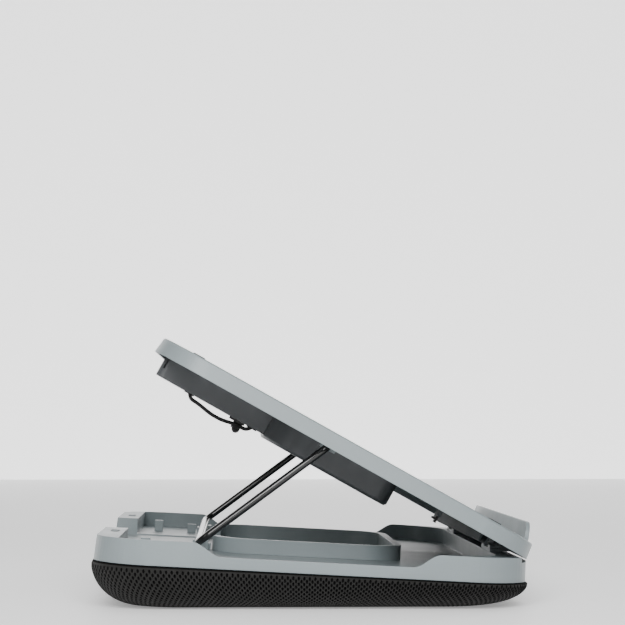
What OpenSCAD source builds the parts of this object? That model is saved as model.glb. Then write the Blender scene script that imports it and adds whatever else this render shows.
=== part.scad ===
// Laptop cooling pad: a tilting ventilated tray on a cushioned lap base, held up by a folding wire stand.
// Millimetres. +X is the user's right, +Y points away from the user, +Z is up.
// The origin is the middle of the cushion's flat underside.

/* [Base] */
// Width of the base and of the tray
base_w = 420; // [380:1:440]
// Depth of the base shell, front to back
base_d = 304; // [290:1:320]
// Plan radius of the outer corners
corner_r = 42; // [30:1:50]
// Slope of the wedge, rising away from the user
wedge_angle = 3.1; // [2:0.1:4]
// Height of the wall tops above the underside, at mid depth
top_z = 42.3; // [40:0.1:46]
// Height of the shell's outer wall
wall_h = 17.3; // [17:0.1:20]
// Thickness of the shell's outer wall
wall_t = 2.8; // [2.4:0.1:3.4]
// Depth of the storage pocket below the wall tops
pocket_depth = 13; // [12:0.1:13.2]
// Depth of the low finger gaps in the side walls
dip_depth = 9.2; // [6:0.1:10]
// How far the cushion's sides and rear stand out past the shell
cushion_bulge = 2.6; // [1:0.1:4]
// How far the cushion's front stands out past the shell
front_bulge = 0.4; // [0:0.1:3]

/* [Tray] */
// Tilt of the tray above the table
tray_tilt = 29.2; // [29:0.1:29.4]
// Length of the tray along its slope
tray_d = 300.5; // [298:0.5:303]
// Height of the tray's rim
rim_h = 11.5; // [11.5:0.1:12.5]
// Draft of the rim, widest at its lower edge
rim_draft = 7; // [3:0.5:8]
// Thickness of the tray's plate
plate_t = 2.5; // [2:0.1:2.5]
// Height of the front lip above the plate
lip_h = 13; // [8:0.5:16]
// Backward lean of the front lip
lip_lean = 19; // [0:1:20]

/* [Housings] */
// Half width of the fan housing
fan_half_w = 92; // [90:0.5:96]
// Depth of the fan housing below the rim
fan_drop = 16; // [15.5:0.1:18]
// Half width of the cable bay
bay_half_w = 62; // [60:0.5:70]
// Depth of the cable bay below the rim
bay_drop = 13.4; // [12:0.1:14]
// Radius of the fan rotor
rotor_r = 35; // [32:0.5:35.5]
// Blades on each rotor
blades = 9; // [7:1:11]

/* [Stand] */
// Radius of the stand's wire
wire_r = 2.75; // [2.5:0.05:2.8]
// Distance from the middle to each leg
leg_x = 160; // [156:1:164]
// Bend radius of the wire
bend_r = 9; // [8:0.5:12]
// Position of the resting crossbar behind mid depth
foot_y = 79.3; // [79:0.1:80]
// Depth of the resting crossbar below the wall tops
foot_drop = 2.6; // [2.4:0.1:2.8]

/* [Hidden] */
$fn = 64;

gap = 0.3;                      // clearance between bodies that pass each other
eps = 0.01;                     // overshoot of a cut past a face
seam = 0.04;                    // joint between two mouldings of one body
light = [0.64, 0.68, 0.69];
dark = [0.33, 0.34, 0.35];
black = [0.06, 0.06, 0.06];

// Row position of the tray frame's origin, the rim's lower front edge
tray_y0 = -151.8;
tray_z0 = 32;

// Hinge axis and stand pivot in the tray frame, as [along the tray, above the rim's lower plane]
hinge_t = [7, 4.5];
pivot_t = [159.4, 3.5];
knuckle_r = 4.2;
pin_r = 2;
hinge_x = 117;
knuckle_len = 22;

function tray_to_row(p) = [
    tray_y0 + p[0] * cos(tray_tilt) - p[1] * sin(tray_tilt),
    tray_z0 + p[0] * sin(tray_tilt) + p[1] * cos(tray_tilt)
];
function row_to_base(p) = [
    p[0] * cos(wedge_angle) + (p[1] - top_z) * sin(wedge_angle),
    -p[0] * sin(wedge_angle) + (p[1] - top_z) * cos(wedge_angle)
];
function base_to_row(p) = [
    p[0] * cos(wedge_angle) - p[1] * sin(wedge_angle),
    top_z + p[0] * sin(wedge_angle) + p[1] * cos(wedge_angle)
];

hinge_b = row_to_base(tray_to_row(hinge_t));
pivot_row = tray_to_row(pivot_t);
foot_row = base_to_row([foot_y, -foot_drop]);
leg_run = foot_row - pivot_row;
leg_len = norm(leg_run);
leg_angle = atan2(leg_run[1], leg_run[0]);

// Base features, in the base frame: y along the slope, z above the wall tops
half_w = base_w / 2;
half_d = base_d / 2;
platform_depth = 12.4;
channel_depth = 13.5;
well_depth = 16;
block_y = 133.9;
block_x = 74;
deck_y = -130;
loop_x = 103;
loop_y = [-71.6, 70.7];
loop_t = 5.4;
loop_r = 30;
loop_drop = 1.9;
dip_rear = [62.2, 82.8];
dip_front = [-68.8, -88.4];
trough_r = 8.8;
trough_half = 188.5;
post_x = 127.5;
post_size = [6, 7];
post_rows = [[118.2, 3.2], [90.3, 5.1]];
seat_x = 85;
seat_w = 20;
panel_inset = 6;
panel_t = 2;
cushion_drop = 0.7;

// Tray features, in the tray frame
plate_z = rim_h - plate_t;
rim_t = 2.6;
plate_inset = 4;                // from the rim's lower edge to the plate's edge
rib_pitch = 33.5;
// Fins under the plate: [left end, length, place along the tray, lower edge]
fins = [
    [-160, 14, 21.6, -1.8], [-86, 172, 21.6, -1.8], [146, 14, 21.6, -1.8],
    [-160, 320, 29, -4.8], [-160, 320, 34.4, -4.8], [-132, 14, 64, -3.6]
];
fan_x = 45;
fan_y = [97.4, 204];
fan_mid = 142;
fan_top = 7.4;
fan_thick = 15;
fan_frame_w = 80;
window_r = 38;
bay_y = [198, 297.4];
shell_t = 2.2;
boss_r = 3;
pillar_h = 4.4;                 // hollow pillar around a sunk screw, from a housing's lower face
sunk = 2.2;                     // depth of a screw's recess
pivot_x = [138, 149.5];
cable_x = -40;
cable_r = 1.5;

module base_frame() {
    translate([0, 0, top_z]) rotate([wedge_angle, 0, 0]) children();
}

module tray_frame() {
    translate([0, tray_y0, tray_z0]) rotate([tray_tilt, 0, 0]) children();
}

// The stand's frame has its origin on the pivot axis and +Y down the legs
module stand_frame() {
    translate([0, pivot_row[0], pivot_row[1]]) rotate([leg_angle, 0, 0]) children();
}

// A rectangle from its corners, with round corners of radius r
module round_rect(x0, x1, y0, y1, r) {
    translate([x0 + r, y0]) square([x1 - x0 - 2 * r, y1 - y0]);
    translate([x0, y0 + r]) square([x1 - x0, y1 - y0 - 2 * r]);
    for (x = [x0 + r, x1 - r], y = [y0 + r, y1 - r]) translate([x, y]) circle(r);
}

// A slot with round ends, centred on the origin, along X
module slot(length, width) {
    square([length - width, width], center = true);
    for (side = [-1, 1]) translate([side * (length - width) / 2, 0]) circle(width / 2, $fn = 24);
}

// A slab of the base's plan, inset all round
module base_slab(z, t, inset, rear_inset = 0) {
    translate([0, 0, z]) linear_extrude(t)
        round_rect(-half_w + inset, half_w - inset, -half_d + inset,
            half_d - inset - rear_inset, corner_r - inset);
}

// Smooth step from 0 to 1, used for the side walls' finger gaps
function ease(t) = (1 - cos(180 * t)) / 2;
steps = 8;
function ramp(y0, y1, z0, z1) =
    [for (i = [0:steps]) [y0 + (y1 - y0) * i / steps, z0 + (z1 - z0) * ease(i / steps)]];

module dip_cut() {
    outline = concat(
        [[dip_rear[1], 2]],
        ramp(dip_rear[1], dip_rear[0], 0, -dip_depth),
        ramp(dip_front[0], dip_front[1], -dip_depth, 0),
        [[dip_front[1], 2]]);
    for (side = [-1, 1])
        translate([side * (half_w + 1), 0, 0]) mirror([side > 0 ? 1 : 0, 0, 0])
            rotate([90, 0, 90]) linear_extrude(14) polygon(outline);
}

module cushion_block() {
    slices = 9;
    edge_z = top_z - wall_h - cushion_drop;
    rear_run = 35;
    front_run = 35;
    side_run = 34;
    hull() for (i = [0:slices]) {
        t = i / slices;
        crown = 1 - sqrt(1 - pow(1 - t, 2));
        swell = 1 - 0.35 * pow(max(0, t - 0.8) / 0.2, 2);
        out = cushion_bulge * swell;
        x_in = side_run * crown - out;
        translate([0, 0, max(t * edge_z - 0.1, 0)]) rotate([wedge_angle * t, 0, 0]) linear_extrude(0.1)
            round_rect(-half_w + x_in, half_w - x_in, -half_d + front_run * crown - front_bulge * swell,
                half_d - rear_run * crown + out, corner_r + out - 14 * crown, $fn = 72);
    }
}

module cushion() {
    color(black) difference() {
        cushion_block();
        base_frame() base_slab(-wall_h - panel_t - 0.3, 20, panel_inset - gap);
    }
}

module base_panel() {
    color(black) base_frame() base_slab(-wall_h - panel_t - 0.1, panel_t, panel_inset);
}

module base_solid() {
    hull() {
        base_slab(-wall_h, 0.1, 0);
        translate([0, -0.3, 0]) base_slab(-0.1, 0.1, 0.5, 0.6);
    }
}

// Hollow under the floor, between the outer wall and the well
module under_hollow() {
    hollow_h = wall_h - pocket_depth - 2;
    difference() {
        base_slab(-wall_h - eps, hollow_h + eps, 5);
        translate([0, 0, -wall_h - 1]) linear_extrude(hollow_h + 2)
            round_rect(-loop_x - 1, loop_x + 1, loop_y[0] - 1, block_y, loop_r);
        for (x = [-2:2]) translate([x * 60 - 1, -half_d, -wall_h - 1]) cube([2, base_d, hollow_h + 2]);
    }
    translate([-half_w + 46, -half_d + 4, -wall_h - eps]) cube([base_w - 92, 14, wall_h - 6.5]);
}

module pocket() {
    inner = wall_t + 0.4;
    difference() {
        translate([0, 0, -channel_depth]) linear_extrude(channel_depth + 1)
            round_rect(-half_w + inner, half_w - inner, deck_y, half_d - inner - 0.8, corner_r - inner);
        // rear corner blocks
        for (side = [-1, 1]) translate([side > 0 ? block_x : -half_w, block_y, -wall_h])
            cube([half_w - block_x, 30, wall_h + 2]);
        // floor of the front and side pockets
        translate([-half_w, -half_d, -wall_h]) cube([base_w, half_d + loop_y[1], wall_h - pocket_depth]);
        // rear platforms
        for (side = [-1, 1]) translate([side > 0 ? block_x : -half_w, loop_y[1], -wall_h])
            cube([half_w - block_x, 80, wall_h - platform_depth]);
    }
}

// Wall round the well, open behind, standing on the pocket's floor
module well_wall() {
    color(light) base_frame() difference() {
        translate([0, 0, -pocket_depth + seam]) linear_extrude(pocket_depth - seam - loop_drop)
            round_rect(-loop_x, loop_x, loop_y[0], loop_y[1] - seam, loop_r);
        translate([0, 0, -wall_h]) linear_extrude(wall_h + 2)
            round_rect(-loop_x + loop_t, loop_x - loop_t, loop_y[0] + loop_t,
                loop_y[1] - loop_t, loop_r - loop_t);
        translate([-block_x - 2, loop_y[1] - 30, -wall_h]) cube([2 * block_x + 4, 60, wall_h + 2]);
    }
}

// Posts on the rear platforms
module base_posts() {
    foot = -platform_depth + seam;
    color(light) base_frame() for (side = [-1, 1], row = post_rows)
        translate([side * post_x - post_size[0] / 2, row[0] - post_size[1] / 2, foot])
            cube([post_size[0], post_size[1], -row[1] - foot]);
}

module base_shell() {
    color(light) base_frame() difference() {
        base_solid();
        pocket();
        under_hollow();
        dip_cut();
        // well inside the loop, where the fan housing nests
        translate([0, 0, -well_depth]) linear_extrude(well_depth + 2)
            round_rect(-loop_x + loop_t, loop_x - loop_t, loop_y[0] + loop_t,
                loop_y[1] - loop_t, loop_r - loop_t);
        // notch in the rear wall between the corner blocks
        translate([-block_x, block_y - 1, -channel_depth]) cube([2 * block_x, 30, channel_depth + 2]);
        // trough around the hinge axis, in which the tray's front edge swings
        translate([-trough_half, hinge_b[0], hinge_b[1]]) rotate([0, 90, 0])
            cylinder(h = 2 * trough_half, r = trough_r, $fn = 96);
        // seats of the rest pads on the corner blocks
        for (side = [-1, 1]) translate([side * 118, 141, -0.8]) linear_extrude(2) slot(20, 6);
        // pilot holes of the bracket and seat screws
        for (p = base_screw_points()) translate([p[0], p[1], -wall_h + 2])
            cylinder(h = wall_h + 2, r = 1.25, $fn = 24);
    }
}

module rest_pads() {
    color(dark) base_frame() for (side = [-1, 1])
        translate([side * 118, 141, -0.75]) linear_extrude(1.1) slot(19.6, 5.6);
}

// Screws of the hinge brackets, in the base frame
bracket_screw_x = 17;
bracket_screw_y = -134.5;
foot_plate_t = 2.5;
function base_screw_points() = [for (side = [-1, 1], end = [-1, 1])
    [side * hinge_x + end * bracket_screw_x, bracket_screw_y]];

// A pan-head screw with a cross recess, head underside at z = 0, pointing down
module screw(shank, head_r = 2.6, head_h = 1.6, shank_r = 1.2) {
    difference() {
        union() {
            cylinder(h = head_h, r = head_r, $fn = 32);
            translate([0, 0, -shank]) cylinder(h = shank + eps, r = shank_r, $fn = 24);
        }
        for (a = [0, 90]) rotate([0, 0, a]) translate([-1.5, -0.35, head_h - 0.8]) cube([3, 0.7, 2]);
    }
}

module base_screws() {
    color([0.7, 0.7, 0.72]) base_frame() for (p = base_screw_points())
        translate([p[0], p[1], foot_plate_t + 0.15]) screw(6);
}

// Seat under the resting crossbar: a flat rest with a stop in front of the wire
module stand_seat(side) {
    seat_top = -foot_drop - wire_r - gap;
    seat_foot = -platform_depth + 0.05;
    color(light) base_frame() translate([side * seat_x - seat_w / 2, foot_y, 0]) {
        translate([0, -6, seat_foot]) cube([seat_w, 11.5, seat_top - seat_foot]);
        translate([0, -6, seat_top - eps]) cube([seat_w, 6 - wire_r - 2 * gap, 2.6]);
        translate([0, 4, seat_top - eps]) cube([seat_w, 1.5, 0.8]);
        translate([seat_w / 2 - 2, -8.1, seat_foot]) cube([4, 2.2, 5]);
    }
}

// Hinge bracket on the base: two bored cheeks on a screwed foot
module hinge_bracket(side) {
    cheek = 10;
    cheek_x = knuckle_len / 2 + cheek / 2 + 0.5;
    reach = bracket_screw_y + 4.5 - hinge_b[0];
    color(light) base_frame() translate([side * hinge_x, 0, 0]) difference() {
        union() {
            for (end = [-1, 1]) translate([end * cheek_x, hinge_b[0], hinge_b[1]]) {
                rotate([0, 90, 0]) cylinder(h = cheek, r = knuckle_r, center = true);
                translate([-cheek / 2, 0, -hinge_b[1] + 0.9]) cube([cheek, reach, hinge_b[1] - 1.2]);
            }
            translate([-24, bracket_screw_y - 4.5, 0.1]) cube([48, 9, foot_plate_t]);
        }
        translate([-30, hinge_b[0], hinge_b[1]]) rotate([0, 90, 0]) cylinder(h = 60, r = pin_r + 0.02);
        for (end = [-1, 1]) translate([end * bracket_screw_x, bracket_screw_y, foot_plate_t + 0.1]) {
            translate([0, 0, -5]) cylinder(h = 10, r = 1.4, $fn = 24);
            cylinder(h = 10, r = 3, $fn = 32);
        }
    }
}

module hinge_pin(side) {
    pin_len = knuckle_len + 21;
    color([0.75, 0.75, 0.77]) base_frame() translate([side * hinge_x, hinge_b[0], hinge_b[1]])
        rotate([0, 90, 0]) cylinder(h = pin_len, r = pin_r, center = true);
}

// Hinge barrel on the tray, screwed up under the plate between the bracket's cheeks
module hinge_barrel(side) {
    color(light) tray_frame() translate([side * hinge_x, hinge_t[0], hinge_t[1]]) difference() {
        union() {
            rotate([0, 90, 0]) cylinder(h = knuckle_len, r = knuckle_r, center = true);
            translate([-knuckle_len / 2, -2, 1.5]) cube([knuckle_len, 16, plate_z - hinge_t[1] - 1.55]);
        }
        rotate([0, 90, 0]) cylinder(h = knuckle_len + 2, r = pin_r + 0.06, center = true);
    }
}

module tray_slab(z, t, inset) {
    translate([0, 0, z]) linear_extrude(t)
        round_rect(-half_w + inset, half_w - inset, inset, tray_d - inset, corner_r - inset, $fn = 96);
}

// Boss under the plate that takes a housing screw
module boss(p, z, top) {
    translate([p[0], p[1], z]) cylinder(h = top - z, r = boss_r, $fn = 32);
}

module pilot_hole(p, z) {
    translate([p[0], p[1], z]) cylinder(h = 12, r = 1.25, $fn = 24);
}

// Pillar in a housing's floor, with a recess for the screw's head
module pillar(p, z) {
    translate([p[0], p[1], z]) cylinder(h = pillar_h, r = 4.6, $fn = 32);
}

module pillar_hole(p, z) {
    translate([p[0], p[1], z - 1]) cylinder(h = sunk + 1, r = 2.9, $fn = 32);
    translate([p[0], p[1], z - 1]) cylinder(h = pillar_h + 2, r = 1.5, $fn = 24);
}

// Rim all round the tray, with the rounded top edge
module tray_rim() {
    top_inset = rim_h * tan(rim_draft);
    color(light) tray_frame() difference() {
        hull() {
            tray_slab(0, 0.1, 0);
            tray_slab(rim_h - 1.1, 0.1, top_inset * 0.9);
            tray_slab(rim_h - 0.1, 0.1, top_inset + 0.7);
        }
        tray_slab(-1, plate_z + 1, rim_t);
        tray_slab(-1, rim_h + 2, plate_inset);
    }
}

// Top plate, let into the rim, with the fans' windows and rows of cooling slots
module tray_plate() {
    slot_rows = [0:5];
    color(light) tray_frame() difference() {
        tray_slab(plate_z, plate_t, plate_inset + seam);
        for (side = [-1, 1]) translate([side * fan_x, fan_mid, 0]) cylinder(h = rim_h + 1, r = window_r);
        for (x = [112, 178], side = [-1, 1], i = slot_rows)
            translate([side * x, 107 + 14 * i, plate_z - 1]) linear_extrude(plate_t + 2) slot(24, 4);
        for (x = [-2:2], y = [222, 236, 250, 264])
            translate([x * 38, y, plate_z - 1]) linear_extrude(plate_t + 2) slot(28, 4);
    }
}

// Ribs, fins and screw bosses under the plate
module tray_ribs() {
    rib_top = plate_z - seam;
    color(light) tray_frame() difference() {
        union() {
            // gussets under the front edge, clear of the hinges
            for (i = [-5:5]) if (abs(i) != 4 && abs(i) != 3)
                translate([i * rib_pitch - 1.1, rim_t + 0.05, 2.6]) cube([2.2, 14, rib_top - 2.6]);
            // stiffening ribs
            for (side = [-1, 1], y = [48, 80])
                translate([side > 0 ? 20 : -195, y - 0.9, 4.5]) cube([175, 1.8, rib_top - 4.5]);
            for (side = [-1, 1], y = [196, 226, 256])
                translate([side > 0 ? 100 : -195, y - 0.9, 4.5]) cube([95, 1.8, rib_top - 4.5]);
            // fins that reach into the base's front pocket
            for (fin = fins) translate([fin[0], fin[2] - 0.8, fin[3]]) cube([fin[1], 1.6, rib_top - fin[3]]);
            // bosses for the screws of both housings
            for (p = fan_screw_points()) boss(p, -fan_drop + pillar_h + 0.2, rib_top);
            for (p = bay_screw_points()) boss(p, -bay_drop + pillar_h + 0.2, rib_top);
        }
        for (p = fan_screw_points()) pilot_hole(p, -fan_drop + 1);
        for (p = bay_screw_points()) pilot_hole(p, -bay_drop + 1);
    }
}

// Front lip that stops the laptop from sliding down
module laptop_stop() {
    lip_half = 150;
    lip_r = 11;
    lip_t = 3;
    color(light) tray_frame() {
        intersection() {
            translate([0, 3, rim_h]) rotate([-lip_lean, 0, 0]) rotate([90, 0, 0])
                translate([0, 0, -lip_t / 2]) linear_extrude(lip_t)
                    round_rect(-lip_half, lip_half, -2 * lip_r, lip_h / cos(lip_lean), lip_r);
            translate([-base_w / 2, -20, rim_h + 0.05]) cube([base_w, 60, 40]);
        }
        translate([0, 0, rim_h + 0.05]) linear_extrude(1.4)
            round_rect(-lip_half + 1, lip_half - 1, 2.6, 12, 2);
    }
}

module grip_pads() {
    color(black) tray_frame() for (side = [-1, 1], y = [30, 272])
        translate([side * 128, y, rim_h + 0.05]) linear_extrude(1.5) slot(70, 9);
}

// Round guard over a fan: rings on spokes, let into the tray's window, with a flange under the plate
module fan_grille(side) {
    color(dark) tray_frame() translate([side * fan_x, fan_mid, 0]) {
        translate([0, 0, plate_z + 0.2]) linear_extrude(plate_t - 0.7) intersection() {
            circle(window_r - 0.2);
            union() {
                for (r = [9:7:37]) difference() {
                    circle(r + 1.1);
                    circle(r - 1.1);
                }
                circle(5);
                for (a = [0:45:315]) rotate(a) translate([0, -1.3]) square([window_r, 2.6]);
            }
        }
        for (collar = [[window_r + 2, plate_z - 0.1], [window_r - 0.2, plate_z + 0.3]])
            translate([0, 0, fan_top + 0.2]) linear_extrude(collar[1] - fan_top - 0.2) difference() {
                circle(collar[0]);
                circle(window_r - 2.6);
            }
    }
}

module fan_frame(side) {
    bottom = fan_top - fan_thick;
    color(black) tray_frame() translate([side * fan_x, fan_mid, bottom]) {
        difference() {
            linear_extrude(fan_thick) round_rect(-fan_frame_w / 2, fan_frame_w / 2,
                -fan_frame_w / 2, fan_frame_w / 2, 4);
            translate([0, 0, -1]) cylinder(h = fan_thick + 2, r = rotor_r + 1.5, $fn = 96);
            for (x = [-1, 1], y = [-1, 1]) translate([x * 35.5, y * 35.5, -1])
                cylinder(h = fan_thick + 2, r = 2.1, $fn = 24);
        }
        cylinder(h = 2.2, r = 13);
        for (a = [30, 150, 270]) rotate([0, 0, a]) translate([12, -1.6, 0]) cube([rotor_r - 9, 3.2, 1.8]);
        cylinder(h = 9, r = 1.5, $fn = 32);
    }
}

module fan_rotor(side) {
    hub_r = 13.5;
    blade_pitch = 38;
    color(dark) tray_frame() translate([side * fan_x, fan_mid, fan_top - fan_thick]) {
        difference() {
            union() {
                translate([0, 0, 2.8]) cylinder(h = 10.6, r = hub_r);
                intersection() {
                    for (i = [0:blades - 1]) rotate([0, 0, i * 360 / blades])
                        translate([hub_r - 1.5, 0, 8.1]) rotate([blade_pitch, 0, 0])
                            translate([0, -9, -0.6]) cube([rotor_r, 18, 1.2]);
                    translate([0, 0, 2.8]) cylinder(h = 10.6, r = rotor_r, $fn = 96);
                }
            }
            cylinder(h = 9.6, r = 1.56, $fn = 32);
            translate([0, 0, 2]) difference() {
                cylinder(h = 7, r = hub_r - 1.4);
                cylinder(h = 7, r = 4);
            }
        }
    }
}

// Plan of the fan housing: wide round corners behind, tighter ones in front
module fan_plan(grow) {
    rear_r = 38 + grow;
    front_r = 12 + grow;
    x = fan_half_w + grow;
    y0 = fan_y[0] - grow;
    y1 = fan_y[1] + grow;
    translate([-x + front_r, y0]) square([2 * (x - front_r), 20 + front_r]);
    translate([-x, y0 + front_r]) square([2 * x, y1 - rear_r - y0 - front_r]);
    translate([-x + rear_r, y1 - rear_r - 10]) square([2 * (x - rear_r), rear_r + 10]);
    for (side = [-1, 1]) {
        translate([side * (x - front_r), y0 + front_r]) circle(front_r);
        translate([side * (x - rear_r), y1 - rear_r]) circle(rear_r, $fn = 96);
    }
}

module fan_housing() {
    edge = 1.8;
    color(dark) tray_frame() difference() {
        union() {
            difference() {
                hull() {
                    translate([0, 0, -fan_drop]) linear_extrude(0.1) fan_plan(-edge);
                    translate([0, 0, -fan_drop + edge])
                        linear_extrude(fan_drop + plate_z - edge - 0.05) fan_plan(0);
                }
                translate([0, 0, -fan_drop + 2]) linear_extrude(fan_drop + plate_z) fan_plan(-shell_t);
            }
            // finger ribs on both side walls
            for (side = [-1, 1], y = [159.6, 163])
                translate([side * fan_half_w - 0.9, y - 0.7, -11]) cube([1.8, 1.4, 9]);
            for (p = fan_screw_points()) pillar(p, -fan_drop);
        }
        // intake slots under each fan
        for (side = [-1, 1], i = [-4:4])
            translate([side * fan_x, fan_mid + 7 * i, -fan_drop - 1]) linear_extrude(4)
                slot(2 * sqrt(pow(34, 2) - pow(7 * i, 2)), 3.2);
        // notches for the fan leads
        for (side = [-1, 1]) translate([side * 20 - 2, fan_y[1] - 4, 2]) cube([4, 8, 4]);
        for (p = fan_screw_points()) pillar_hole(p, -fan_drop);
    }
}

module bay_plan(inset) {
    difference() {
        round_rect(-bay_half_w + inset, bay_half_w - inset, 150, bay_y[1] - inset, 6);
        fan_plan(0.2 + inset);
        translate([-bay_half_w - 1, 140]) square([2 * bay_half_w + 2, bay_y[0] - 140]);
    }
}

// Cable bay behind the fans: holds the lead's slack and the power board
module cable_bay() {
    color(dark) tray_frame() difference() {
        union() {
            difference() {
                translate([0, 0, -bay_drop]) linear_extrude(bay_drop + plate_z - 0.05) bay_plan(0);
                translate([0, 0, -bay_drop + 2]) linear_extrude(bay_drop + plate_z) bay_plan(shell_t);
            }
            for (p = bay_screw_points()) pillar(p, -bay_drop);
        }
        // narrow side slots near the rear corners
        for (side = [-1, 1]) translate([side * bay_half_w - 4, 293.4, -6.3]) cube([8, 1.5, 8]);
        // mouths of the lead's two glands
        for (y = [gland_rear_y, gland_front_y]) translate([cable_x, y, -bay_drop - 1])
            cylinder(h = 4, r = 3.2, $fn = 32);
        for (p = bay_screw_points()) pillar_hole(p, -bay_drop);
    }
}

function fan_screw_points() = [[0, 108], [0, 172], [-56, 190], [56, 190]];
function bay_screw_points() = [for (side = [-1, 1], y = [212, 288]) [side * 53, y]];

module sunk_screw(p, z) {
    translate([p[0], p[1], z + sunk - 0.05]) mirror([0, 0, 1]) screw(6);
}

module housing_screws() {
    color([0.25, 0.25, 0.26]) tray_frame() {
        for (p = fan_screw_points()) sunk_screw(p, -fan_drop);
        for (p = bay_screw_points()) sunk_screw(p, -bay_drop);
    }
}

// Power board with its socket and a regulator, inside the cable bay
module power_board() {
    color([0.1, 0.3, 0.15]) tray_frame() translate([0, 250, -bay_drop + 5]) {
        translate([-5, -20, 0]) cube([62, 40, 1.6]);
        translate([4, -18, 1.6 - eps]) cube([9, 8, 5]);
        translate([24, -18, 1.6 - eps]) cube([9, 8, 5]);
        translate([40, 2, 1.6 - eps]) cube([12, 12, 3]);
        translate([16, 8, 1.6 - eps]) cylinder(h = 7, r = 4);
        for (x = [0, 52], y = [-15, 15]) translate([x, y, -3]) cylinder(h = 3 + eps, r = 2.4, $fn = 32);
    }
}

// Route of the lead: out of the rear gland, in a slack bow through the clip, into the front gland.
// Points are [along the tray, above the rim's lower plane] in the tray frame.
gland_rear_y = 268.5;
gland_front_y = 213.5;
cable_points = [
    [268.5, -9.4], [268.5, -11], [268.3, -12.6], [267.7, -14], [266.7, -15.2], [265.5, -16.2],
    [264, -16.8], [262.5, -17], [259, -17.3], [255, -17.9], [250, -18.8], [245, -19.4],
    [240, -19.5], [235, -19], [230, -18], [226, -17.3], [222.5, -17], [219.5, -17],
    [218, -16.8], [216.5, -16.2], [215.3, -15.2], [214.3, -14], [213.7, -12.6], [213.5, -11],
    [213.5, -9.4]
];

function cable_dir(i) = let (
        a = cable_points[max(i - 1, 0)],
        b = cable_points[min(i + 1, len(cable_points) - 1)],
        d = b - a) d / norm(d);

// One polyhedron tube swept along points that lie in a plane of constant x
module tube(points, r, sides) {
    n = len(points);
    rings = [for (i = [0:n - 1], k = [0:sides - 1]) let (
        d = cable_dir(i),
        a = 360 * k / sides,
        side = [-d[1], d[0]] * r * sin(a)) [r * cos(a), points[i][0] + side[0], points[i][1] + side[1]]];
    walls = [for (i = [0:n - 2], k = [0:sides - 1])
        [i * sides + k, i * sides + (k + 1) % sides, (i + 1) * sides + (k + 1) % sides, (i + 1) * sides + k]];
    start = [for (k = [sides - 1:-1:0]) k];
    end = [for (k = [0:sides - 1]) (n - 1) * sides + k];
    polyhedron(rings, concat([start], walls, [end]), convexity = 6);
}

module usb_cable() {
    color(black) tray_frame() translate([cable_x, 0, 0]) tube(cable_points, cable_r, 8);
}

// Rubber gland in the bay's floor, with a flange outside. Its mouth is longer on the side the lead bends to.
module cable_gland(y, bend_side) {
    color(black) tray_frame() translate([cable_x, y, 0]) difference() {
        union() {
            translate([0, 0, -bay_drop - 0.9]) cylinder(h = 0.85, r = 4.2, $fn = 32);
            translate([0, 0, -bay_drop - 0.5]) cylinder(h = 2.6, r = 3.15, $fn = 32);
        }
        translate([0, bend_side * 0.5, -bay_drop - 2]) linear_extrude(6) rotate(90) slot(4.6, 3.4);
    }
}

// Clip under the bay: an open hook that holds the lead's bow
module cable_clip() {
    color(black) tray_frame() translate([cable_x, 0, 0]) {
        translate([-5, 219.5, -bay_drop - 1.9]) cube([10, 13, 1.85]);
        // arm beside the lead, with a round end
        translate([2.1, 0, 0]) rotate([90, 0, 90]) linear_extrude(1.8) {
            translate([220.8, -20.6]) square([7.5, 20.6 - bay_drop - 1]);
            translate([223.9, -20.2]) circle(3.1, $fn = 32);
        }
        // lip under the lead
        translate([-2.6, 221.8, -22.4]) cube([5, 4.2, 1.5]);
    }
}

// Snap hook under the tray that catches behind the base's front pocket wall
module tray_clip() {
    color(black) tray_frame() translate([-104, 61.8, 0]) {
        translate([0, -0.9, -8.6]) cube([8, 1.8, plate_z + 8.55]);
        translate([0, 0.8, -6.6]) cube([8, 2.6, 1.6]);
        translate([-3, -4, plate_z - 2]) cube([14, 8, 1.95]);
    }
}

// Bracket under the tray that carries one end of the stand
module stand_bracket(side) {
    color(light) tray_frame() mirror([side > 0 ? 0 : 1, 0, 0]) difference() {
        union() {
            translate([pivot_x[0] - 4, 153.4, -1]) cube([pivot_x[1] - pivot_x[0] + 4, 12, plate_z + 0.95]);
            translate([pivot_x[0] - 10, 147, plate_z - 2.5]) cube([pivot_x[1] - pivot_x[0] + 14, 26, 2.45]);
        }
        translate([pivot_x[0] - 1, pivot_t[0], pivot_t[1]]) rotate([0, 90, 0])
            cylinder(h = 40, r = wire_r + 0.05);
        for (p = stand_screw_points())
            translate([p[0], p[1], plate_z - 5]) cylinder(h = 10, r = 1.4, $fn = 24);
    }
}

function stand_screw_points() = [[pivot_x[0] - 7, 150.5], [pivot_x[0] - 7, 169.5]];

module stand_bracket_screws() {
    color([0.7, 0.7, 0.72]) tray_frame() for (side = [0, 1]) mirror([side, 0, 0])
        for (p = stand_screw_points())
            translate([p[0], p[1], plate_z - 2.55]) mirror([0, 0, 1]) screw(2.4, 2.4, 1.4);
}

// Quarter bend of the wire, centre line radius bend_r, from +X towards +Y
module bend() {
    rotate_extrude(angle = 90) translate([bend_r, 0]) circle(wire_r, $fn = 32);
}

module stand_wire() {
    run = leg_x - bend_r;
    color(black) stand_frame() {
        translate([-run, leg_len, 0]) rotate([0, 90, 0]) cylinder(h = 2 * run, r = wire_r, $fn = 32);
        for (m = [0, 1]) mirror([m, 0, 0]) {
            translate([run, leg_len - bend_r, 0]) bend();
            translate([leg_x, bend_r, 0]) rotate([-90, 0, 0])
                cylinder(h = leg_len - 2 * bend_r, r = wire_r, $fn = 32);
            translate([run, bend_r, 0]) rotate([0, 0, -90]) bend();
            translate([pivot_x[0], 0, 0]) rotate([0, 90, 0])
                cylinder(h = run - pivot_x[0], r = wire_r, $fn = 64);
        }
    }
}

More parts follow.
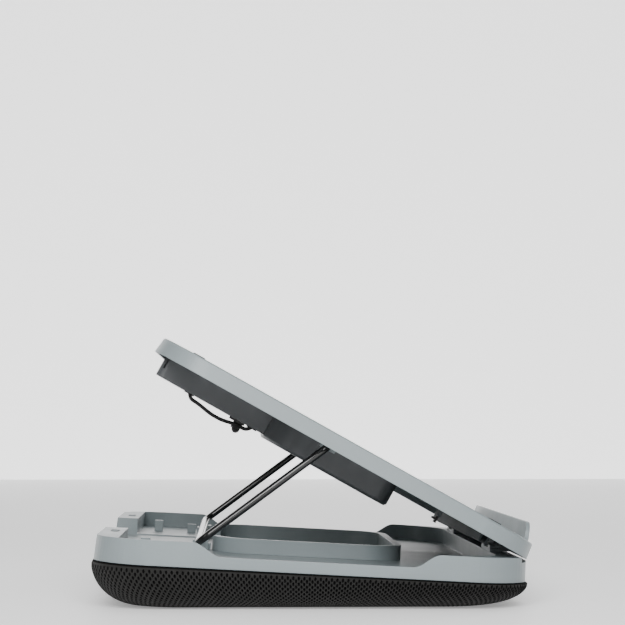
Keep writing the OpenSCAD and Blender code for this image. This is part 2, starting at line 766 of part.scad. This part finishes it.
cushion();
base_panel();
base_shell();
well_wall();
base_posts();
base_screws();
rest_pads();
stand_seat(-1);  // stand_seat_left
stand_seat(1);  // stand_seat_right
hinge_bracket(-1);  // hinge_bracket_left
hinge_bracket(1);  // hinge_bracket_right
hinge_pin(-1);  // hinge_pin_left
hinge_pin(1);  // hinge_pin_right
tray_rim();
tray_plate();
tray_ribs();
laptop_stop();
grip_pads();
hinge_barrel(-1);  // hinge_barrel_left
hinge_barrel(1);  // hinge_barrel_right
fan_grille(-1);  // fan_grille_left
fan_grille(1);  // fan_grille_right
fan_frame(-1);  // fan_frame_left
fan_frame(1);  // fan_frame_right
fan_rotor(-1);  // fan_rotor_left
fan_rotor(1);  // fan_rotor_right
fan_housing();
cable_bay();
housing_screws();
power_board();
usb_cable();
cable_gland(gland_rear_y, -1);  // cable_gland_rear
cable_gland(gland_front_y, 1);  // cable_gland_front
cable_clip();
tray_clip();
stand_bracket(-1);  // stand_bracket_left
stand_bracket(1);  // stand_bracket_right
stand_bracket_screws();
stand_wire();
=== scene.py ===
"""Laptop cooling pad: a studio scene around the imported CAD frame.

Blender works in metres, in the frame's own axes. Shapes are given in millimetres and degrees, as in
the CAD, and new_mesh and make_lead turn them into metres. Depths of bump are in metres.
"""

import math

import bmesh
import bpy
import numpy as np
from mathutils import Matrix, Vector


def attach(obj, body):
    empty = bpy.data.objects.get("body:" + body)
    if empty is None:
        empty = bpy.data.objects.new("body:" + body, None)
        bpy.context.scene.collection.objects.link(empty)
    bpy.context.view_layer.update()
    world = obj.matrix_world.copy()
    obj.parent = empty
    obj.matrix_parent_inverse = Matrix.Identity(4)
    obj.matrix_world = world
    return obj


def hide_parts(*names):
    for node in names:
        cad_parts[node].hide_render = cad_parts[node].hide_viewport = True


MM = 0.001

# Camera, in metres: a long lens, low at the pad's left side
CAMERA_PLACE = (-1.540, 0.054, 0.1267)
CAMERA_DIRECTION = (1.0, -0.0400, 0.0580)
CAMERA_REACH = 60.0
LENS_MM = 111.7
SENSOR_MM = 36.0

# Area lights, in metres and watts: name, place, size, power
LIGHTS = [
    ("key", (-1.55, 0.1, 0.9), (1.3, 0.9), 41.0),
    ("overhead", (0.3, 0.1, 2.0), (1.6, 1.6), 8.0),
    ("rear_left", (-1.3, 1.7, 0.7), (0.4, 1.0), 3.0),
    ("front_right", (1.4, -1.6, 0.9), (0.8, 1.0), 7.0),
]
LIGHT_AIM = (0.0, 0.0, 0.08)
WORLD_STRENGTH = 0.15

# Paper of the floor and the backdrop
FLOOR_Z = -0.2
FLOOR_GLOW = 0.3
BACKDROP_GLOW = 1.6
PAPER_LOW = (0.90, 0.90, 0.90)
PAPER_HIGH = (0.92, 0.92, 0.92)
WHITE = (1.0, 1.0, 1.0, 1.0)

# Noise: most of its values lie between these two, where the ramps and spans start and end
NOISE_LOW = 0.3
NOISE_HIGH = 0.7
NOISE_ROUGHNESS = 0.55
BEVEL_SAMPLES = 6
YARN_SCALE = 520.0

# Sockets of a Mix node that mixes colours
MIX_FACTOR = 0
MIX_FIRST = 6
MIX_SECOND = 7
MIX_RESULT = 2

# Cushion, as in the CAD
WEDGE = 3.1
BASE_W = 420.0
BASE_D = 304.0
CORNER_R = 42.0
SEAM_Z = 24.3
FRONT_RUN = 35.0
REAR_RUN = 35.0
SIDE_RUN = 34.0
CORNER_SHRINK = 14.0
POCKET_INSET = 5.7
POCKET_DEPTH = 1.9

# How far the flank stands out past the shell, and the share of that which tapers off over the top
# fifth of its height, towards the seam
BULGE = 2.6
FRONT_BULGE = 0.4
TAPER_LOSS = 0.35
TAPER_START = 0.8
TAPER_SPAN = 0.2

# Spacer mesh on the flank: rows of holes between two angles of the flank's profile
FIRST_ROW_ANGLE = 1.3
LAST_ROW_ANGLE = 77
PROFILE_SAMPLES = 400
PROFILE_EXTRA_H = 3.0
HOLE_PITCH = 3.8
ROW_PITCH = 2.1
HOLE_W = 1.7
HOLE_H = 2.9
HOLE_DEPTH = 1.1
HOLE_SIDES = 8
HOLE_FLOOR_SHARE = 0.8
HOLE_FADE = 0.35
RIM_RAISE = 0.14

# Loops that close the cushion: (inset, drop) at the seam, angles round the lower edge, and insets
# of the underside, which stay below its corner radius, or the outline would cross itself
SEAM_OUT = -0.3
SEAM_LOOPS = ((1.6, -0.25), (POCKET_INSET, 0.0), (POCKET_INSET, POCKET_DEPTH))
EDGE_ANGLES = (80, 83, 86, 90)
UNDERSIDE_INSETS = (9.0, 18.0, 27.0)

# Material slots of the cushion
FABRIC = 0
# slot for the walls and floors of the holes, near-black as painted shade
HOLE_SHADE = 1
BINDING = 2

# Bound edge between the mesh and the shell
PIPING_R = 0.55
PIPING_OUT = -2.9
PIPING_DROP = -0.45
PIPING_POINTS = 240
PIPING_SIDES = 8
PIPING_STEP = 0.002

# Tray frame, as in the CAD
TRAY_TILT = 29.2
TRAY_Y = -151.8
TRAY_Z = 32.0

# Lead under the cable bay: its place across the tray and its diameter, in millimetres, and its
# route in the tray frame, as (along the tray, above the rim's lower plane)
LEAD_X = -40.0
LEAD_DIAMETER = 3.0
LEAD_ROUTE = [
    (268.5, -9.4), (268.5, -11), (268.3, -12.6), (267.7, -14), (266.7, -15.2), (265.5, -16.2),
    (264, -16.8), (262.5, -17), (259, -17.3), (255, -17.9), (250, -18.8), (245, -19.4),
    (240, -19.5), (235, -19), (230, -18), (226, -17.3), (222.5, -17), (219.5, -17),
    (218, -16.8), (216.5, -16.2), (215.3, -15.2), (214.3, -14), (213.7, -12.6), (213.5, -11),
    (213.5, -9.4),
]


# ---------------------------------------------------------------- materials


class Nodes:
    """A material's node tree, with short calls for what the materials below share."""

    def __init__(self, name):
        self.material = bpy.data.materials.new(name)
        self.material.use_nodes = True
        self.tree = self.material.node_tree
        self.shader = self.tree.nodes["Principled BSDF"]
        self.place = self.add("ShaderNodeTexCoord").outputs["Object"]

    def add(self, kind, **settings):
        node = self.tree.nodes.new(kind)
        for key, value in settings.items():
            setattr(node, key, value)
        return node

    def link(self, source, target):
        self.tree.links.new(source, target)

    def noise(self, scale, detail, stretch=None):
        node = self.add("ShaderNodeTexNoise")
        node.inputs["Scale"].default_value = scale
        node.inputs["Detail"].default_value = detail
        node.inputs["Roughness"].default_value = NOISE_ROUGHNESS
        source = self.place
        if stretch:
            mapping = self.add("ShaderNodeMapping")
            mapping.inputs["Scale"].default_value = stretch
            self.link(source, mapping.inputs["Vector"])
            source = mapping.outputs["Vector"]
        self.link(source, node.inputs["Vector"])
        return node.outputs["Fac"]

    def ramp(self, source, low, high):
        """The noise as a colour between low and high."""
        node = self.add("ShaderNodeValToRGB")
        first, last = node.color_ramp.elements
        first.position, last.position = NOISE_LOW, NOISE_HIGH
        first.color = (*low, 1.0)
        last.color = (*high, 1.0)
        self.link(source, node.inputs["Fac"])
        return node.outputs["Color"]

    def span(self, source, low, high):
        """The noise as a number between low and high."""
        node = self.add("ShaderNodeMapRange")
        node.inputs["From Min"].default_value = NOISE_LOW
        node.inputs["From Max"].default_value = NOISE_HIGH
        node.inputs["To Min"].default_value = low
        node.inputs["To Max"].default_value = high
        self.link(source, node.inputs["Value"])
        return node.outputs["Result"]

    def mix(self, factor, first, second):
        """A linked colour mixed, by a linked factor, with one plain colour."""
        node = self.add("ShaderNodeMix", data_type="RGBA")
        self.link(factor, node.inputs[MIX_FACTOR])
        self.link(first, node.inputs[MIX_FIRST])
        node.inputs[MIX_SECOND].default_value = (*second, 1.0)
        return node.outputs[MIX_RESULT]

    def color(self, source):
        self.link(source, self.shader.inputs["Base Color"])

    def roughness(self, source):
        self.link(source, self.shader.inputs["Roughness"])

    def fixed(self, sockets):
        """Values that are the same all over, on the shader's own sockets."""
        for name, value in sockets.items():
            self.shader.inputs[name].default_value = value

    def bump(self, heights, soft_edge=0.0):
        """heights: (source, depth) pairs, laid over each other; soft_edge rounds hard edges."""
        normal = None
        if soft_edge:
            bevel = self.add("ShaderNodeBevel", samples=BEVEL_SAMPLES)
            bevel.inputs["Radius"].default_value = soft_edge
            normal = bevel.outputs["Normal"]
        for source, depth in heights:
            node = self.add("ShaderNodeBump")
            node.inputs["Strength"].default_value = 1.0
            node.inputs["Distance"].default_value = depth
            self.link(source, node.inputs["Height"])
            if normal:
                self.link(normal, node.inputs["Normal"])
            normal = node.outputs["Normal"]
        self.link(normal, self.shader.inputs["Normal"])


def darker(tone, share):
    return tuple(share * c for c in tone)


def moulded_plastic(name, low, high, rough=(0.42, 0.52), edge=0.0007):
    """Spark-eroded moulding: fine grain, slow cloudy variation and dust-dulled patches."""
    n = Nodes(name)
    clouds = n.noise(scale=14.0, detail=4.0)
    specks = n.noise(scale=900.0, detail=2.0)
    tone = n.ramp(clouds, low, high)
    n.color(n.mix(n.span(specks, 0.0, 0.12), tone, darker(low, 0.8)))
    n.roughness(n.span(n.noise(scale=30.0, detail=5.0), *rough))
    n.bump([(n.noise(scale=1600.0, detail=2.0), 0.00004)], soft_edge=edge)
    n.fixed({"Specular IOR Level": 0.45})
    return n.material


def black_gloss():
    """Baked enamel on the wire stand: deep black with a little orange peel."""
    n = Nodes("wire_enamel")
    n.color(n.ramp(n.noise(scale=60.0, detail=4.0), (0.004, 0.004, 0.004), (0.006, 0.006, 0.006)))
    n.roughness(n.span(n.noise(scale=40.0, detail=3.0), 0.20, 0.25))
    n.bump([(n.noise(scale=120.0, detail=2.0), 0.000002)])
    n.fixed({"Coat Weight": 0.5, "Coat Roughness": 0.12})
    return n.material


def rubber(name, tone=(0.016, 0.016, 0.016), edge=0.0004):
    """Matt rubber with a fine, uneven skin."""
    n = Nodes(name)
    n.color(n.ramp(n.noise(scale=240.0, detail=5.0), darker(tone, 0.7), tone))
    n.roughness(n.span(n.noise(scale=90.0, detail=4.0), 0.6, 0.78))
    n.bump([(n.noise(scale=1300.0, detail=3.0), 0.00005)], soft_edge=edge)
    return n.material


def steel():
    """Plated steel with fine streaks along X."""
    n = Nodes("plated_steel")
    streaks = n.noise(scale=260.0, detail=6.0, stretch=(0.15, 1.0, 1.0))
    n.color(n.ramp(streaks, (0.42, 0.42, 0.43), (0.62, 0.62, 0.63)))
    n.roughness(n.span(streaks, 0.28, 0.42))
    n.bump([(streaks, 0.00002)], soft_edge=0.0002)
    n.fixed({"Metallic": 1.0})
    return n.material


def circuit_board():
    """Green lacquer over a pattern of tracks."""
    n = Nodes("board_lacquer")
    tracks = n.add("ShaderNodeTexBrick")
    tracks.inputs["Scale"].default_value = 300.0
    tracks.inputs["Color1"].default_value = (0.012, 0.06, 0.025, 1.0)
    tracks.inputs["Color2"].default_value = (0.016, 0.075, 0.03, 1.0)
    tracks.inputs["Mortar"].default_value = (0.03, 0.12, 0.05, 1.0)
    n.link(n.place, tracks.inputs["Vector"])
    n.color(tracks.outputs["Color"])
    n.roughness(n.span(n.noise(scale=80.0, detail=3.0), 0.3, 0.42))
    n.bump([(tracks.outputs["Fac"], 0.00003)])
    return n.material


def yarn_heights(n):
    """Two crossed sets of fine threads, one height each."""
    threads = []
    for direction in ("X", "Z"):
        wave = n.add("ShaderNodeTexWave", bands_direction=direction)
        wave.inputs["Scale"].default_value = YARN_SCALE
        wave.inputs["Distortion"].default_value = 1.6
        wave.inputs["Detail"].default_value = 2.0
        wave.inputs["Detail Scale"].default_value = 3.0
        n.link(n.place, wave.inputs["Vector"])
        threads.append(wave.outputs["Fac"])
    return threads


def knitted_mesh():
    """Charcoal polyester spacer mesh: the yarn between the holes."""
    n = Nodes("spacer_mesh")
    clouds = n.ramp(n.noise(scale=35.0, detail=5.0), (0.007, 0.007, 0.0065), (0.011, 0.011, 0.0105))
    fuzz = n.noise(scale=2400.0, detail=3.0)
    n.color(n.mix(n.span(fuzz, 0.0, 0.6), clouds, (0.024, 0.0235, 0.022)))
    n.roughness(n.span(n.noise(scale=150.0, detail=4.0), 0.78, 0.95))
    n.bump([(threads, 0.00010) for threads in yarn_heights(n)] + [(fuzz, 0.00006)])
    n.fixed({"Sheen Weight": 0.05, "Sheen Roughness": 0.5, "Specular IOR Level": 0.25})
    return n.material


def painted_hole_shade():
    """Near-black for the wall and floor of each hole: painted shade in the holes."""
    n = Nodes("painted_hole_shade")
    dots = n.noise(scale=1800.0, detail=3.0)
    n.color(n.ramp(dots, (0.0015, 0.0015, 0.0015), (0.004, 0.004, 0.004)))
    n.roughness(n.span(n.noise(scale=300.0, detail=3.0), 0.85, 0.98))
    n.bump([(n.noise(scale=2500.0, detail=2.0), 0.00005)])
    n.fixed({"Specular IOR Level": 0.1})
    return n.material


def edge_binding():
    """Dull black tape along the mesh's edge."""
    n = Nodes("edge_binding")
    n.color(n.ramp(n.noise(scale=900.0, detail=4.0), (0.002, 0.002, 0.002), (0.005, 0.005, 0.005)))
    n.roughness(n.span(n.noise(scale=200.0, detail=4.0), 0.9, 1.0))
    n.bump([(yarn_heights(n)[0], 0.00008)])
    n.fixed({"Specular IOR Level": 0.1})
    return n.material


def studio_floor():
    """Pale paper that glows a little, so that it stays bright around the pad."""
    n = Nodes("studio_floor")
    n.color(n.ramp(n.noise(scale=3.0, detail=3.0), PAPER_LOW, PAPER_HIGH))
    n.roughness(n.span(n.noise(scale=8.0, detail=3.0), 0.55, 0.6))
    n.bump([(n.noise(scale=400.0, detail=2.0), 0.00001)])
    n.fixed({"Emission Color": WHITE, "Emission Strength": FLOOR_GLOW})
    return n.material


def backdrop_glow():
    """Paper lit from behind."""
    n = Nodes("backdrop_glow")
    n.color(n.ramp(n.noise(scale=0.5, detail=2.0), PAPER_LOW, PAPER_HIGH))
    n.fixed({"Emission Color": WHITE, "Emission Strength": BACKDROP_GLOW})
    return n.material


# ---------------------------------------------------------------- small helpers


def show(thing):
    bpy.context.scene.collection.objects.link(thing)
    return thing


def new_mesh(name, verts, faces, materials, slots=None, smooth=True):
    """A mesh object from points in millimetres."""
    mesh = bpy.data.meshes.new(name)
    mesh.from_pydata([tuple(MM * c for c in v) for v in verts], [], faces)
    for material in materials:
        mesh.materials.append(material)
    if slots is not None:
        mesh.polygons.foreach_set("material_index", slots)
    mesh.polygons.foreach_set("use_smooth", [smooth] * len(mesh.polygons))
    mesh.update()
    return show(bpy.data.objects.new(name, mesh))


def face_outwards(piece):
    """Turn every face of a closed mesh to the outside."""
    mesh = bmesh.new()
    mesh.from_mesh(piece.data)
    bmesh.ops.recalc_face_normals(mesh, faces=mesh.faces)
    mesh.to_mesh(piece.data)
    mesh.free()


def tray_point(x, along, up):
    """A point of the tray frame, in the frame's own millimetres."""
    s, c = math.sin(math.radians(TRAY_TILT)), math.cos(math.radians(TRAY_TILT))
    return Vector((x, TRAY_Y + along * c - up * s, TRAY_Z + along * s + up * c))


class Skin:
    """Points and faces of one mesh, in the order they are made, with a slot for each face."""

    def __init__(self):
        self.verts = []
        self.faces = []
        self.slots = []

    def add(self, point):
        self.verts.append(point)
        return len(self.verts) - 1

    def loop(self, points):
        return [self.add(point) for point in points]

    def face(self, ids, slot=FABRIC):
        self.faces.append(ids)
        self.slots.append(slot)

    def bridge(self, upper, lower, slot=FABRIC):
        """A band of faces between two loops with the same number of points."""
        for a in range(len(upper)):
            b = (a + 1) % len(upper)
            self.face([upper[a], lower[a], lower[b], upper[b]], slot)


# ---------------------------------------------------------------- cushion


def outline_point(u, x_half, y_front, y_rear, r):
    """The point at the share u of the way round a rectangle with round corners, counter-clockwise.

    The shares are those of the cushion's own seam, so that columns of the mesh run straight down.
    Even parts are sides and odd parts are corners, from the front of the right side on.
    """
    long_side = BASE_W - 2 * CORNER_R
    short_side = BASE_D - 2 * CORNER_R
    arc = math.pi / 2 * CORNER_R
    lengths = [short_side, arc, long_side, arc, short_side, arc, long_side, arc]
    s = (u % 1.0) * sum(lengths)
    for part, length in enumerate(lengths):
        if s < length or part == len(lengths) - 1:
            break
        s -= length
    f = min(s / length, 1.0)
    xr = x_half - r
    if part == 0:
        return x_half, y_front + r + f * (y_rear - y_front - 2 * r)
    if part == 2:
        return xr - f * 2 * xr, y_rear
    if part == 4:
        return -x_half, y_rear - r - f * (y_rear - y_front - 2 * r)
    if part == 6:
        return -xr + f * 2 * xr, y_front
    corner = (part - 1) // 2
    angle = math.radians(90 * (corner + f))
    cx = xr if corner in (0, 3) else -xr
    cy = y_rear - r if corner in (0, 1) else y_front + r
    return cx + r * math.cos(angle), cy + r * math.sin(angle)


def flank_point(u, theta, out=0.0, drop=0.0):
    """A point of the flank, moved out sideways by out and down by drop.

    theta runs from 0 at the seam to a right angle at the flat underside.
    """
    t = 1.0 - math.sin(theta)
    crown = 1.0 - math.cos(theta)
    swell = 1 - TAPER_LOSS * (max(0.0, t - TAPER_START) / TAPER_SPAN) ** 2
    bulge = BULGE * swell
    x_half = BASE_W / 2 - SIDE_RUN * crown + bulge + out
    y_front = -BASE_D / 2 + FRONT_RUN * crown - FRONT_BULGE * swell - out
    y_rear = BASE_D / 2 - REAR_RUN * crown + bulge + out
    r = CORNER_R + bulge + out - CORNER_SHRINK * crown
    x, y = outline_point(u, x_half, y_front, y_rear, r)
    tilt = math.radians(WEDGE * t)
    return np.array([x, y * math.cos(tilt), t * SEAM_Z + y * math.sin(tilt) - drop])


def flank_rows(first, last, pitch):
    """Angles of rows that lie about a pitch apart along a mean profile of the flank."""
    run, height = (SIDE_RUN + REAR_RUN) / 2, SEAM_Z + PROFILE_EXTRA_H
    thetas = np.linspace(first, last, PROFILE_SAMPLES)
    speed = np.hypot(run * np.sin(thetas), height * np.cos(thetas))
    steps = (speed[1:] + speed[:-1]) / 2 * np.diff(thetas)
    along = np.concatenate([[0.0], np.cumsum(steps)])
    count = int(along[-1] / pitch) // 2 * 2
    return np.interp(np.linspace(0.0, along[-1], count + 1), along, thetas)


def flank_axes(u, theta, u_step, theta_step):
    """Unit vectors along the row, down the flank and out of it."""
    along = flank_point(u + u_step / 2, theta) - flank_point(u - u_step / 2, theta)
    down = flank_point(u, theta + theta_step / 2) - flank_point(u, theta - theta_step / 2)
    outward = np.cross(down, along)
    return [axis / np.linalg.norm(axis) for axis in (along, down, outward)]


def sink_hole(skin, centre, axes, fade, corners):
    """One hole between its four corner knots: a raised rim, a wall, and a floor, with wall and
    floor near-black as painted shade in the hole.
    """
    along, down, outward = axes
    ring, floor = [], []
    for k in range(HOLE_SIDES):
        a = 2 * math.pi * k / HOLE_SIDES
        across = along * (HOLE_W / 2 * fade * math.cos(a))
        offset = across + down * (HOLE_H / 2 * fade * math.sin(a))
        ring.append(skin.add(centre + offset + outward * RIM_RAISE))
        floor.append(skin.add(centre + HOLE_FLOOR_SHARE * offset - outward * HOLE_DEPTH))
    for q, corner in enumerate(corners):
        k = 2 * q
        rim = [ring[(k + 2) % HOLE_SIDES], ring[k + 1], ring[k]]
        skin.face([corner, corners[(q + 1) % len(corners)]] + rim)
    for k in range(HOLE_SIDES):
        after = (k + 1) % HOLE_SIDES
        skin.face([ring[k], ring[after], floor[after], floor[k]], HOLE_SHADE)
    skin.face(floor, HOLE_SHADE)


def knit_flank(skin, columns, thetas):
    """The flank with its holes; returns the knots of its first row and of its last.

    Knots and holes alternate like the squares of a chessboard, with knots where i + j is odd.
    """
    last_row = len(thetas) - 1
    knots = {}
    for j, theta in enumerate(thetas):
        for i in range(columns):
            if (i + j) % 2:
                knots[i, j] = skin.add(flank_point(i / columns, theta))

    def knot(i, j):
        return knots[i % columns, j]

    for j, theta in enumerate(thetas):
        for i in range(columns):
            if (i + j) % 2:
                continue
            if j == 0:
                skin.face([knot(i - 1, 0), knot(i, 1), knot(i + 1, 0)])
                continue
            if j == last_row:
                skin.face([knot(i - 1, j), knot(i + 1, j), knot(i, j - 1)])
                continue
            u = i / columns
            axes = flank_axes(u, theta, 1 / columns, (thetas[j + 1] - thetas[j - 1]) / 2)
            fade = 1.0 - HOLE_FADE * (j / last_row) ** 2
            corners = [knot(i + 1, j), knot(i, j + 1), knot(i - 1, j), knot(i, j - 1)]
            sink_hole(skin, flank_point(u, theta), axes, fade, corners)
    odd = range(1, columns, 2)
    return [knot(i, 0) for i in odd], [knot(i, last_row) for i in odd]


def make_cushion(bound_edge):
    """The cushion in spacer mesh, with every hole of its flank sunk into the surface."""
    perimeter = 2 * (BASE_W + BASE_D - 4 * CORNER_R) + 2 * math.pi * CORNER_R
    columns = 2 * int(perimeter / HOLE_PITCH)
    thetas = flank_rows(math.radians(FIRST_ROW_ANGLE), math.radians(LAST_ROW_ANGLE), ROW_PITCH)
    skin = Skin()
    top, bottom = knit_flank(skin, columns, thetas)
    shares = [i / columns for i in range(1, columns, 2)]

    # over the seam, a band inwards under the shell, and down the pocket of the base panel
    upper = skin.loop(flank_point(u, 0.0, out=SEAM_OUT) for u in shares)
    skin.bridge(upper, top, BINDING)
    for inset, drop in SEAM_LOOPS:
        lower = skin.loop(flank_point(u, 0.0, out=-inset - BULGE, drop=drop) for u in shares)
        skin.bridge(lower, upper, BINDING)
        upper = lower
    skin.face(upper, BINDING)

    # round the lower edge on to the flat underside, and in to its middle
    upper = bottom
    for degrees in EDGE_ANGLES:
        lower = skin.loop(flank_point(u, math.radians(degrees)) for u in shares)
        skin.bridge(upper, lower)
        upper = lower
    for inset in UNDERSIDE_INSETS:
        lower = skin.loop(flank_point(u, math.radians(90), out=-inset) for u in shares)
        skin.bridge(upper, lower)
        upper = lower
    skin.face(list(reversed(upper)))

    materials = [knitted_mesh(), painted_hole_shade(), bound_edge]
    piece = new_mesh("cushion_mesh", skin.verts, skin.faces, materials, skin.slots)
    face_outwards(piece)
    return piece


def make_piping(bound_edge):
    """A thin bound edge that closes the mesh against the shell."""
    skin = Skin()
    for i in range(PIPING_POINTS):
        u = i / PIPING_POINTS
        centre = flank_point(u, 0.0, out=PIPING_OUT, drop=PIPING_DROP)
        ahead = flank_point(u + PIPING_STEP, 0.0) - flank_point(u - PIPING_STEP, 0.0)
        ahead /= np.linalg.norm(ahead)
        outward = np.cross(ahead, (0.0, 0.0, 1.0))
        outward /= np.linalg.norm(outward)
        upward = np.cross(outward, ahead)
        for k in range(PIPING_SIDES):
            a = 2 * math.pi * k / PIPING_SIDES
            skin.add(centre + PIPING_R * (math.cos(a) * outward + math.sin(a) * upward))
    for i in range(PIPING_POINTS):
        row, next_row = i * PIPING_SIDES, (i + 1) % PIPING_POINTS * PIPING_SIDES
        for k in range(PIPING_SIDES):
            after = (k + 1) % PIPING_SIDES
            skin.face([row + k, next_row + k, next_row + after, row + after])
    return new_mesh("cushion_edge", skin.verts, skin.faces, [bound_edge])


# ---------------------------------------------------------------- lead


def make_lead(material):
    """The jacket of the lead, as a round curve along its route."""
    curve = bpy.data.curves.new("lead_jacket", "CURVE")
    curve.dimensions = "3D"
    curve.bevel_depth = LEAD_DIAMETER / 2 * MM
    curve.bevel_resolution = 5
    curve.resolution_u = 6
    curve.use_fill_caps = True
    spline = curve.splines.new("BEZIER")
    spline.bezier_points.add(len(LEAD_ROUTE) - 1)
    for point, (along, up) in zip(spline.bezier_points, LEAD_ROUTE):
        point.co = tray_point(LEAD_X, along, up) * MM
        point.handle_left_type = point.handle_right_type = "AUTO"
    curve.materials.append(material)
    return show(bpy.data.objects.new("lead_jacket", curve))


# ---------------------------------------------------------------- studio


def turn_towards(thing, direction):
    thing.rotation_euler = direction.to_track_quat("-Z", "Y").to_euler()


def make_camera():
    camera = bpy.data.cameras.new("camera")
    camera.lens = LENS_MM
    camera.sensor_width = SENSOR_MM
    camera.clip_end = CAMERA_REACH
    holder = show(bpy.data.objects.new("camera", camera))
    holder.location = CAMERA_PLACE
    turn_towards(holder, Vector(CAMERA_DIRECTION))
    bpy.context.scene.camera = holder


def make_area_light(name, place, size, watts):
    light = bpy.data.lights.new(name, "AREA")
    light.shape = "RECTANGLE"
    light.size, light.size_y = size
    light.energy = watts
    holder = show(bpy.data.objects.new(name, light))
    holder.location = place
    turn_towards(holder, Vector(LIGHT_AIM) - Vector(place))


def make_floor():
    radius, points = 30000.0, 64
    rim = [(radius * math.cos(a), radius * math.sin(a), FLOOR_Z)
           for a in np.linspace(0.0, 2 * math.pi, points, endpoint=False)]
    new_mesh("studio_floor", rim, [list(range(points))], [studio_floor()], smooth=False)


def make_backdrop():
    """An upright lit screen on the pad's right, behind it in the camera's view."""
    x, half_width, height = 3000.0, 4000.0, 2600.0
    corners = [(x, -half_width, 0.0), (x, half_width, 0.0),
               (x, half_width, height), (x, -half_width, height)]
    new_mesh("backdrop", corners, [[0, 1, 2, 3]], [backdrop_glow()], smooth=False)


def make_studio():
    make_floor()
    make_backdrop()
    world = bpy.data.worlds.new("studio")
    world.use_nodes = True
    background = world.node_tree.nodes["Background"]
    background.inputs["Color"].default_value = WHITE
    background.inputs["Strength"].default_value = WORLD_STRENGTH
    bpy.context.scene.world = world
    for light in LIGHTS:
        make_area_light(*light)


# ---------------------------------------------------------------- the whole


def dress_cad_nodes(nodes):
    """Give every CAD node that stays in view its material."""
    shell = moulded_plastic(
        "shell_plastic", (0.205, 0.240, 0.250), (0.225, 0.262, 0.272), rough=(0.30, 0.40))
    # a darker copy of the shell's plastic for tray_ribs: painted shade under the tray
    underside = moulded_plastic(
        "rib_plastic_painted_shade", (0.075, 0.088, 0.092), (0.09, 0.105, 0.11), rough=(0.7, 0.8))
    housing = moulded_plastic(
        "housing_plastic", (0.075, 0.08, 0.085), (0.09, 0.095, 0.10), rough=(0.3, 0.4))
    black = moulded_plastic(
        "black_plastic", (0.012, 0.012, 0.012), (0.018, 0.018, 0.018), edge=0.0004)
    soft = rubber("pad_rubber")
    enamel = black_gloss()
    metal = steel()
    grey = rubber("grey_rubber", (0.23, 0.26, 0.27))
    board = circuit_board()
    looks = [
        (shell, [
            "base_shell", "well_wall", "base_posts", "tray_rim", "tray_plate", "laptop_stop",
            "hinge_bracket_left", "hinge_bracket_right", "hinge_barrel_left", "hinge_barrel_right",
            "stand_bracket_left", "stand_bracket_right", "stand_seat_left", "stand_seat_right",
        ]),
        (underside, ["tray_ribs"]),
        (housing, ["fan_housing", "cable_bay", "fan_grille_left", "fan_grille_right"]),
        (black, [
            "fan_rotor_left", "fan_rotor_right", "fan_frame_left", "fan_frame_right",
            # base_panel's black makes the thin dark line at the seam of shell and cushion: painted
            # shade of the shadow gap there
            "base_panel", "cable_clip", "tray_clip",
        ]),
        (soft, ["grip_pads", "cable_gland_rear", "cable_gland_front"]),
        (grey, ["rest_pads"]),
        (enamel, ["stand_wire"]),
        (metal, [
            "hinge_pin_left", "hinge_pin_right",
            "base_screws", "housing_screws", "stand_bracket_screws",
        ]),
        (board, ["power_board"]),
    ]
    for material, names in looks:
        for name in names:
            mesh = nodes[name].data
            mesh.materials.clear()
            mesh.materials.append(material)


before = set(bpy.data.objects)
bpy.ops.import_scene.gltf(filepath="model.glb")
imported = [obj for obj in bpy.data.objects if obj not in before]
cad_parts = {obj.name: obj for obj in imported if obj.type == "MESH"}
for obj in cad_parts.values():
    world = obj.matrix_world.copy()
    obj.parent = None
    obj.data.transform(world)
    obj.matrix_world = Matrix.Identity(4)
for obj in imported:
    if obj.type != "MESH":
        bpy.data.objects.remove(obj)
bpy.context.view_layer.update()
make_camera()

lead = make_lead(rubber("lead_rubber", (0.012, 0.012, 0.012), edge=0.0))
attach(lead, "tray")
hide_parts("usb_cable")

bound_edge = edge_binding()
cushion = make_cushion(bound_edge)
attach(cushion, "base")
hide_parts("cushion")

piping = make_piping(bound_edge)
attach(piping, "base")

dress_cad_nodes(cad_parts)
make_studio()
